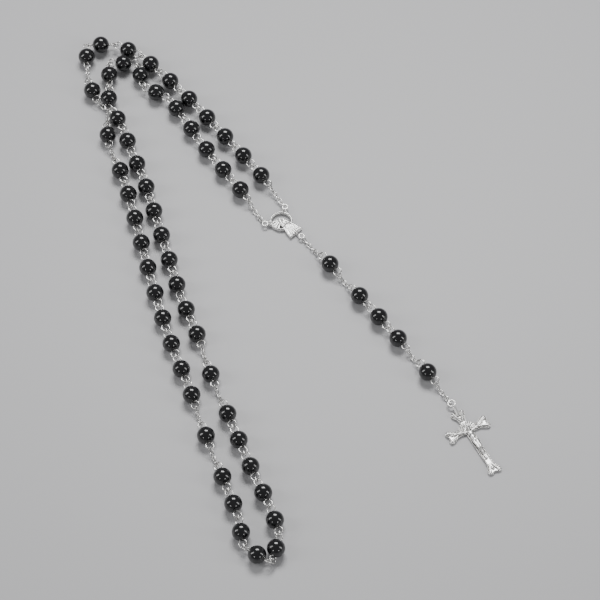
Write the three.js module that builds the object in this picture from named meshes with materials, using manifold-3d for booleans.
// A five-decade rosary lying on a table: fifty-nine round beads on eye pins, joined by wire
// links and short chains, with a ring-shaped centrepiece and a crucifix. Millimetres, +Z up.
// Each piece that moves is a group at its own pivot, with its local X along the strand.
import * as THREE from 'three';
import { mergeVertices } from 'three/addons/utils/BufferGeometryUtils.js';
import Module from 'manifold-3d';

const wasm = await Module();
wasm.setup();

// ---------- driving dimensions ----------
const BEAD = 8; // bead diameter
const BORE = 1.5; // hole through a bead
const WIRE = 0.7; // eye pin wire
const EYE = 1.2; // mean radius of an eye loop
const EYE_AT = 5.7; // from a bead's centre to the centre of its eye loop
const LINK = 1.2; // mean radius of a chain link
const LINK_WIRE = 0.5;
const SLACK = 0.2; // from a link's centre to the wire that it hooks
const WELD = 0.35; // half of the block that holds two crossed links of a rigid chain
const SHORT_CHAIN = { links: 5, span: 8 }; // between a decade and a single bead
const LONG_CHAIN = { links: 7, span: 13 }; // at the centrepiece
const CROSS_CHAIN = { links: 5, span: 9.6 }; // at the crucifix
const OPEN_LINKS = 1; // links made of the chain where the loop is opened
const DECADE = 10;
const TOGETHER = 2; // decade beads in one rigid piece
const CASTING_LOOP_Z = 2; // height of the loops cast on the centrepiece and crucifix
const BEND = 75; // degrees that a piece lifts or drops at its link
const TIGHT_BENDS = { decade_5_beads_9_10: 50, decade_3_beads_5_6: 45 }; // at sharp corners

const STRAND_Z = BEAD / 2;
const PIN_SPAN = 2 * (EYE_AT + EYE); // from wire to wire across a bead
const LINK_SPAN = 2 * SLACK; // from wire to wire across one link

// centrepiece
const RING = { x: -0.2, y: 35.7, radius: 4.8, band: 1.4, thick: 2.2 };
const FIGURE_TURN = -44; // degrees from +X to the figure's feet
const ARM_SPREAD = 59; // degrees from the top of the ring to each arm loop
const ARM_AT = 7.7; // ring centre to an arm loop
const FOOT_AT = 13; // ring centre to the loop under the figure

// crucifix
const CROSS = { length: 35, span: 20.6, top: 10.5, arm: 3.4, flare: 6.6, thick: 2 };
const CROSS_TURN = -62; // degrees from +X to its foot
const CROSS_LOOP = 1.6; // mean radius of the loop at its top
const CROSS_DROP = 4; // that loop's centre to the top edge
const CROSS_LOOP_POINT = [75, -63]; // where the loop lies

// ---------- where the strand lies ----------
// The four single beads of the loop, each with the turn of its pin in degrees from +X.
const SINGLES = [
  { x: -90.5, y: 110, turn: -67 },
  { x: -31, y: -49, turn: -71 },
  { x: -32.5, y: -80.5, turn: 109 },
  { x: -82, y: 83.5, turn: 99 },
];
// The way of each decade between them, from the centrepiece's right arm round to its left.
const DECADE_ROUTES = [
  [[-11, 62], [-28, 84], [-45, 106], [-64, 127], [-74, 136], [-87, 139], [-94, 139], [-94, 131]],
  [[-79.6, 98], [-75.5, 90], [-73, 79], [-67, 66], [-59, 40], [-51, 12], [-43, -15], [-37, -28]],
  [[-23, -70], [-13, -96], [-2, -122], [0.5, -134], [-1, -142], [-9, -141], [-15, -137],
    [-16, -127], [-25, -101]],
  [[-39, -60], [-49, -33], [-57, -6], [-64, 21], [-71, 49], [-75, 62]],
  [[-82, 106], [-83, 120], [-83, 127], [-77, 129], [-70, 127], [-67, 120], [-66, 112],
    [-59, 111], [-50, 99], [-35, 74], [-18, 50]],
];
const PENDANT_ROUTE = [[22, 10], [35, -7], [44, -19], [52, -30], [65, -48]];

// ---------- shapes ----------
function solidOf(geometry) {
  const bare = geometry.clone();
  bare.deleteAttribute('normal');
  bare.deleteAttribute('uv');
  const merged = mergeVertices(bare, 1e-4);
  return new wasm.Manifold(
    new wasm.Mesh({
      numProp: 3,
      vertProperties: merged.attributes.position.array,
      triVerts: new Uint32Array(merged.index.array),
    }),
  );
}

function geometryOf(solid) {
  const mesh = solid.getMesh();
  const geometry = new THREE.BufferGeometry();
  geometry.setAttribute('position', new THREE.BufferAttribute(mesh.vertProperties, 3));
  geometry.setIndex(new THREE.BufferAttribute(mesh.triVerts, 1));
  geometry.computeVertexNormals();
  return geometry;
}

function join(geometries) {
  const solids = geometries.map(solidOf);
  return geometryOf(solids.reduce((sum, next) => sum.add(next)));
}

// A closed wire loop, flat on the table, or standing up along X.
function loop(radius, wire, standing = false) {
  const geometry = new THREE.TorusGeometry(radius, wire / 2, 3, 6);
  return standing ? geometry.rotateX(Math.PI / 2) : geometry;
}

function bar(from, to, width, height = width) {
  const length = to - from;
  return new THREE.BoxGeometry(length, width, height).translate(from + length / 2, 0, 0);
}

// A bead with its poles up and down, so that its top and bottom are exact points.
function ball() {
  return new THREE.SphereGeometry(BEAD / 2, 8, 6).rotateX(Math.PI / 2);
}

// A bead with a bore along X, turned from one closed profile.
function boredBead() {
  const bore = BORE / 2;
  const start = Math.asin(bore / (BEAD / 2));
  const steps = 6;
  const profile = [];
  for (let i = 0; i <= steps; i++) {
    const angle = start + ((Math.PI - 2 * start) * i) / steps;
    const radius = (BEAD / 2) * Math.sin(angle);
    profile.push(new THREE.Vector2(radius, -(BEAD / 2) * Math.cos(angle)));
  }
  profile.push(profile[0].clone());
  return new THREE.LatheGeometry(profile, 10).rotateZ(-Math.PI / 2);
}

// ---------- where things are: a frame on the strand ----------
// at is a point on the strand, and to is the next point along it.
function frameAt(at, to) {
  const ahead = new THREE.Vector3().subVectors(to, at).normalize();
  const side = new THREE.Vector3(0, 0, 1).cross(ahead).normalize();
  const up = new THREE.Vector3().crossVectors(ahead, side);
  return new THREE.Matrix4().makeBasis(ahead, side, up).setPosition(at);
}

// ---------- the walk: wire after wire along a smooth route ----------
function walk(points, spans) {
  const curve = new THREE.CatmullRomCurve3(points, false, 'centripetal');
  const samples = curve.getPoints(6000);
  const found = [points[0]];
  let index = 0;
  for (const span of spans) {
    const from = found[found.length - 1];
    while (index < samples.length - 1 && samples[index].distanceTo(from) < span) index++;
    const before = samples[Math.max(index - 1, 0)];
    const after = samples[index];
    const reach = after.distanceTo(from) - before.distanceTo(from);
    const share = Math.min((span - before.distanceTo(from)) / reach, 3);
    found.push(before.clone().lerp(after, share));
  }
  return { stops: found, left: samples.length - 1 - index };
}

// The chains take up what is left over, so that the walk ends on the last point.
function closedWalk(points, spansFor) {
  let low = 0.5;
  let high = 1.6;
  for (let i = 0; i < 30; i++) {
    const middle = (low + high) / 2;
    if (walk(points, spansFor(middle)).left > 0) low = middle;
    else high = middle;
  }
  return walk(points, spansFor(low)).stops;
}

// The walk is level, and only its two ends drop to the loops of the castings.
function stopsBetween(first, points, last, spansFor) {
  const level = [first, ...points, last].map((point) => point.clone().setZ(STRAND_Z));
  const found = closedWalk(level, spansFor);
  found[0] = first;
  found[found.length - 1] = last;
  return found;
}

// ---------- materials ----------
function metal(name, color, roughness) {
  return new THREE.MeshStandardMaterial({ name, color, roughness, metalness: 1 });
}

function beadBlack() {
  const look = { name: 'bead_black', color: 0x0a0a0b, roughness: 0.12, metalness: 0 };
  return new THREE.MeshStandardMaterial(look);
}

const chainSilver = () => metal('chain_silver', 0xc9c8c4, 0.25);
const castingSilver = () => metal('casting_silver', 0xd2d0cb, 0.32);

// ---------- the tree of moving pieces ----------
const rosary = new THREE.Group();
rosary.name = 'rosary';

// A rigid piece hung on its parent at a pivot. Its bend axis is level and across the strand,
// and the axis that a bead spins on is along the strand.
function piece(parent, pivot, ahead, joint) {
  const group = new THREE.Group();
  group.applyMatrix4(frameAt(pivot, ahead));
  rosary.add(group);
  parent.attach(group);
  group.userData.joint = joint;
  return group;
}

function addMesh(group, name, geometry, material) {
  const mesh = new THREE.Mesh(geometry, material);
  mesh.name = name;
  group.add(mesh);
}

// Puts a shape made at a stop on the strand into a group's own space.
function into(group, frame, geometry) {
  group.updateWorldMatrix(true, false);
  const toGroup = group.matrixWorld.clone().invert();
  return geometry.applyMatrix4(toGroup.multiply(frame));
}

// Neighbours bend opposite ways, so that the strand folds to and fro.
let bends = 0;
function bend(name) {
  bends += 1;
  const across = bends % 2 ? 1 : -1;
  const range = TIGHT_BENDS[name] ?? BEND;
  return { name: `${name}_bend`, axis: [0, across, 0], range: [-range, range] };
}

// ---------- pieces of the strand ----------
// Links that hook the wires at both ends, standing and flat by turns. Of an opened chain,
// only the first links are made.
function addChain(parent, name, from, to, chain, made, joint) {
  const group = piece(parent, from, to, joint);
  const pitch = (from.distanceTo(to) - LINK_SPAN) / (chain.links - 1);
  const shapes = [];
  for (let i = 0; i < made; i++) {
    const centre = SLACK + i * pitch;
    shapes.push(loop(LINK, LINK_WIRE, i % 2 === 0).translate(centre, 0, 0));
    if (i) shapes.push(bar(centre - LINK - WELD, centre - pitch + LINK + WELD, 2 * WELD));
  }
  addMesh(group, name, join(shapes), chainSilver());
  return group;
}

// A pin between two open eyes, and the bead that turns on it.
function addSingle(parent, number, stops, linked) {
  const [from, to] = stops;
  const pin = piece(parent, from, to, bend(`pin_${number}`));
  const end = PIN_SPAN - (linked ? 1 : 2) * EYE;
  const shapes = [loop(EYE, WIRE).translate(EYE, 0, 0), bar(2 * EYE, end, WIRE * 0.8)];
  if (linked) shapes.push(...heldLink(pin, stops));
  else shapes.push(loop(EYE, WIRE).translate(PIN_SPAN - EYE, 0, 0));
  addMesh(pin, `eye_pin_${number}`, join(shapes), chainSilver());
  const middle = from.clone().lerp(to, 0.5);
  const spin = { name: `bead_${number}_spin`, axis: [1, 0, 0], continuous: true };
  const bead = piece(pin, middle, to, spin);
  addMesh(bead, `single_bead_${number}`, boredBead(), beadBlack());
  return pin;
}

// A link held at the end of a pin by a short weld, ready for the next eye to hook. It stands
// between the place of its own pin's eye and the next eye.
function heldLink(group, [pinStart, pinEnd, nextStart, nextEnd]) {
  const ownEye = pinEnd.clone().lerp(pinStart, EYE / PIN_SPAN);
  const nextEye = nextStart.clone().lerp(nextEnd, EYE / PIN_SPAN);
  const frame = frameAt(ownEye.clone().lerp(nextEye, 0.5), nextEye);
  const weld = bar(-LINK - SLACK, -LINK, LINK_WIRE);
  return [weld, loop(LINK, LINK_WIRE, true)].map((shape) => into(group, frame, shape));
}

// Neighbouring decade beads as one rigid piece, each on its pin with its link. A free piece
// ends the strand where the loop is opened, and its last eye stands up.
function addBeadGroup(parent, name, stops, last, free) {
  const group = piece(parent, stops[0], stops[1], bend(name));
  const shapes = [loop(EYE, WIRE).translate(EYE, 0, 0)];
  for (let i = 0; i < 2 * TOGETHER; i += 2) {
    const start = i === 0 ? 2 * EYE : -2 * SLACK;
    const isEnd = i === 2 * TOGETHER - 2;
    const frame = frameAt(stops[i], stops[i + 1]);
    const end = PIN_SPAN + (isEnd ? (last ? -2 : -1) * EYE : 2 * SLACK);
    shapes.push(into(group, frame, bar(start, end, WIRE * 0.8)));
    shapes.push(into(group, frame, ball().translate(PIN_SPAN / 2, 0, 0)));
    if (isEnd && last) {
      shapes.push(into(group, frame, loop(EYE, WIRE, free).translate(PIN_SPAN - EYE, 0, 0)));
    } else {
      shapes.push(...heldLink(group, stops.slice(i, i + 4)));
    }
  }
  addMesh(group, name, join(shapes), beadBlack());
  return group;
}

// ---------- centrepiece ----------
function polar(radius, degrees, z = 0) {
  const angle = THREE.MathUtils.degToRad(degrees);
  return new THREE.Vector3(radius * Math.cos(angle), radius * Math.sin(angle), z);
}

function slab(points, thickness) {
  const shape = new THREE.Shape(points.map(([x, y]) => new THREE.Vector2(x, y)));
  return new THREE.ExtrudeGeometry(shape, { depth: thickness, bevelEnabled: false });
}

// Made with the figure's feet towards +X and its back on the table.
function centrepieceShape() {
  const { radius, band, thick } = RING;
  const outer = new THREE.CylinderGeometry(radius + band / 2, radius + band / 2, thick, 18);
  const inner = new THREE.CylinderGeometry(radius - band / 2, radius - band / 2, 3 * thick, 18);
  const hoop = solidOf(outer.rotateX(Math.PI / 2).translate(0, 0, thick / 2))
    .subtract(solidOf(inner.rotateX(Math.PI / 2)));
  const robe = slab([[-0.6, -1.4], [3, -2.2], [9.6, -4.1], [9.6, 4.1], [3, 2.2], [-0.6, 1.4]], 2.6);
  const veil = new THREE.SphereGeometry(1, 10, 8).scale(2.6, 2.1, 1.5).translate(-0.9, 0, 1.9);
  const hands = new THREE.SphereGeometry(1, 8, 6).scale(1.5, 0.8, 0.7).translate(3, 0, 2.7);
  const shapes = [robe, veil, hands];
  for (const turn of [180 - ARM_SPREAD, 180 + ARM_SPREAD]) {
    const at = polar(ARM_AT, turn, CASTING_LOOP_Z);
    const lug = bar(radius, ARM_AT - EYE, 2.2, 0.8);
    lug.translate(0, 0, CASTING_LOOP_Z - 0.3).rotateZ(THREE.MathUtils.degToRad(turn));
    shapes.push(loop(EYE, WIRE).translate(at.x, at.y, at.z), lug);
  }
  shapes.push(loop(EYE, WIRE).translate(FOOT_AT, 0, CASTING_LOOP_Z));
  shapes.push(bar(9, FOOT_AT - EYE, 1, 0.7).translate(0, 0, CASTING_LOOP_Z));
  return geometryOf(shapes.reduce((sum, next) => sum.add(solidOf(next)), hoop));
}

// ---------- crucifix ----------
// One side of an arm, from the crossing to its tip, where it widens.
function armPoints(length) {
  const half = CROSS.arm / 2;
  const wide = CROSS.flare / 2;
  return [[half, half], [length - 6, half * 0.95], [length - 1.6, wide], [length, wide * 0.8]];
}

// Made with its foot towards +X, its crossing at the origin and its back on the table.
function crucifixShape() {
  const ends = [CROSS.length - CROSS.top, CROSS.span / 2, CROSS.top, CROSS.span / 2];
  const outline = [];
  ends.forEach((length, quarter) => {
    const near = armPoints(length);
    const far = near.map(([x, y]) => [x, -y]);
    const turn = (quarter * Math.PI) / 2;
    for (const [x, y] of [...far, ...near.reverse()].slice(1)) {
      const px = x * Math.cos(turn) - y * Math.sin(turn);
      outline.push([px, x * Math.sin(turn) + y * Math.cos(turn)]);
    }
  });
  const shapes = [slab(outline, CROSS.thick * 0.7)];
  const part = (length, width, height, x, y = 0) =>
    new THREE.SphereGeometry(1, 8, 6).scale(length, width, height).translate(x, y, 1.4);
  shapes.push(part(1.5, 1.2, 1.3, 0.6)); // head
  shapes.push(part(4, 1.5, 1.1, 5.4)); // chest and hips
  shapes.push(part(5.6, 0.9, 0.9, 12.6)); // legs
  shapes.push(part(0.7, 7.6, 0.7, 1.6)); // arms
  const top = -CROSS.top;
  const centre = top - CROSS_DROP;
  shapes.push(loop(CROSS_LOOP, WIRE).translate(centre, 0, CASTING_LOOP_Z));
  shapes.push(bar(centre + CROSS_LOOP, top + 2, 1.4, 1.2).translate(0, 0, CASTING_LOOP_Z - 0.7));
  return join(shapes);
}

// ---------- assembly ----------
const ringCentre = new THREE.Vector3(RING.x, RING.y, 0);
const centrepiece = new THREE.Group();
centrepiece.position.copy(ringCentre);
centrepiece.rotation.z = THREE.MathUtils.degToRad(FIGURE_TURN);
rosary.add(centrepiece);
addMesh(centrepiece, 'centrepiece', centrepieceShape(), castingSilver());

// The wire of a casting's loop on the side that faces a point.
function hookTowards(loopCentre, radius, target) {
  const away = new THREE.Vector3().subVectors(target, loopCentre).setZ(0).normalize();
  return loopCentre.clone().addScaledVector(away, radius);
}

const onTable = ([x, y]) => new THREE.Vector3(x, y, STRAND_Z);
const armCentre = (turn) => ringCentre.clone().add(polar(ARM_AT, FIGURE_TURN + turn, CASTING_LOOP_Z));
const rightTarget = onTable(DECADE_ROUTES[0][0]);
const leftTarget = onTable(DECADE_ROUTES[4].at(-1));
const rightHook = hookTowards(armCentre(180 - ARM_SPREAD), EYE, rightTarget);
const leftHook = hookTowards(armCentre(180 + ARM_SPREAD), EYE, leftTarget);

// The wires at the two ends of a single bead's pin.
function pinEnds({ x, y, turn }) {
  const middle = onTable([x, y]);
  const half = polar(PIN_SPAN / 2, turn);
  return [middle.clone().sub(half), middle.clone().add(half)];
}

// Each decade and its two chains fit between the wires on either side.
const decadeSpans = Array.from({ length: 2 * DECADE - 1 }, (_, i) => (i % 2 ? LINK_SPAN : PIN_SPAN));
const wires = [rightHook, ...SINGLES.flatMap(pinEnds), leftHook];
const stops = DECADE_ROUTES.flatMap((route, i) => {
  const chainSpan = (end) => (end ? LONG_CHAIN.span : SHORT_CHAIN.span);
  const spansFor = (stretch) => [
    chainSpan(i === 0) * stretch, ...decadeSpans, chainSpan(i === 4) * stretch,
  ];
  return stopsBetween(wires[2 * i], route.map(onTable), wires[2 * i + 1], spansFor);
});

// ---------- the pieces in order along a run of the strand ----------
// A run knows its stops, how far along them it is, and the body that the next piece hangs on.
function chainOn(run, name, chain, made = chain.links) {
  const [from, to] = run.stops.slice(run.at, run.at + 2);
  run.body = addChain(run.body, name, from, to, chain, made, bend(name));
  run.at += 1;
}

function singleOn(run, number, linked = false) {
  const own = run.stops.slice(run.at, run.at + 4);
  run.body = addSingle(run.body, number, own, linked);
  run.at += linked ? 2 : 1;
}

function decadeOn(run, number) {
  for (let first = 0; first < DECADE; first += TOGETHER) {
    const last = first + TOGETHER === DECADE;
    const name = `decade_${number}_beads_${first + 1}_${first + TOGETHER}`;
    const own = run.stops.slice(run.at, run.at + 2 * TOGETHER + 2);
    run.body = addBeadGroup(run.body, name, own, last, last && number === 2);
    run.at += last ? 2 * TOGETHER - 1 : 2 * TOGETHER;
  }
}

function singleBetween(run, number, made = SHORT_CHAIN.links) {
  chainOn(run, `chain_to_single_${number}`, SHORT_CHAIN);
  singleOn(run, number);
  chainOn(run, `chain_from_single_${number}`, SHORT_CHAIN, made);
}

// The loop is a closed ring of pieces, opened where it crosses itself: this chain ends one
// link short of the fifth decade run, which hangs on the other arm.
const rightRun = { stops, at: 0, body: centrepiece };
chainOn(rightRun, 'right_arm_chain', LONG_CHAIN);
decadeOn(rightRun, 1);
singleBetween(rightRun, 1, OPEN_LINKS);

const leftRun = { stops: [...stops].reverse(), at: 0, body: centrepiece };
chainOn(leftRun, 'left_arm_chain', LONG_CHAIN);
for (const number of [5, 4, 3, 2]) {
  decadeOn(leftRun, number);
  if (number > 2) singleBetween(leftRun, number - 1);
}

// The pendant: five single beads, then the crucifix.
const footLoop = ringCentre.clone().add(polar(FOOT_AT, FIGURE_TURN, CASTING_LOOP_Z));
const pendantPoints = PENDANT_ROUTE.map(onTable);
const footHook = hookTowards(footLoop, EYE, pendantPoints[0]);
const crossLoop = onTable(CROSS_LOOP_POINT).setZ(CASTING_LOOP_Z);
const crossHook = hookTowards(crossLoop, CROSS_LOOP, pendantPoints.at(-1));
const pendantSpans = (stretch) => [
  LONG_CHAIN.span * stretch, PIN_SPAN, SHORT_CHAIN.span * stretch,
  PIN_SPAN, LINK_SPAN, PIN_SPAN, LINK_SPAN, PIN_SPAN,
  SHORT_CHAIN.span * stretch, PIN_SPAN, CROSS_CHAIN.span * stretch,
];
const pendantStops = stopsBetween(footHook, pendantPoints, crossHook, pendantSpans);
const pendantRun = { stops: pendantStops, at: 0, body: centrepiece };
chainOn(pendantRun, 'pendant_chain', LONG_CHAIN);
singleOn(pendantRun, 5);
chainOn(pendantRun, 'pendant_upper_chain', SHORT_CHAIN);
singleOn(pendantRun, 6, true);
singleOn(pendantRun, 7, true);
singleOn(pendantRun, 8);
chainOn(pendantRun, 'pendant_lower_chain', SHORT_CHAIN);
singleOn(pendantRun, 9);
chainOn(pendantRun, 'crucifix_chain', CROSS_CHAIN);

const crossTurn = polar(1, CROSS_TURN);
const crucifix = piece(pendantRun.body, crossHook, crossHook.clone().add(crossTurn), bend('crucifix'));
const crossCentre = crossLoop.clone().setZ(0).addScaledVector(crossTurn, CROSS.top + CROSS_DROP);
const crossFrame = frameAt(crossCentre, crossCentre.clone().add(crossTurn));
addMesh(crucifix, 'crucifix', into(crucifix, crossFrame, crucifixShape()), castingSilver());

// The origin is under the middle of the whole, on the table.
const box = new THREE.Box3().setFromObject(rosary, true);
rosary.position.set(-(box.min.x + box.max.x) / 2, -(box.min.y + box.max.y) / 2, 0);

export default rosary;
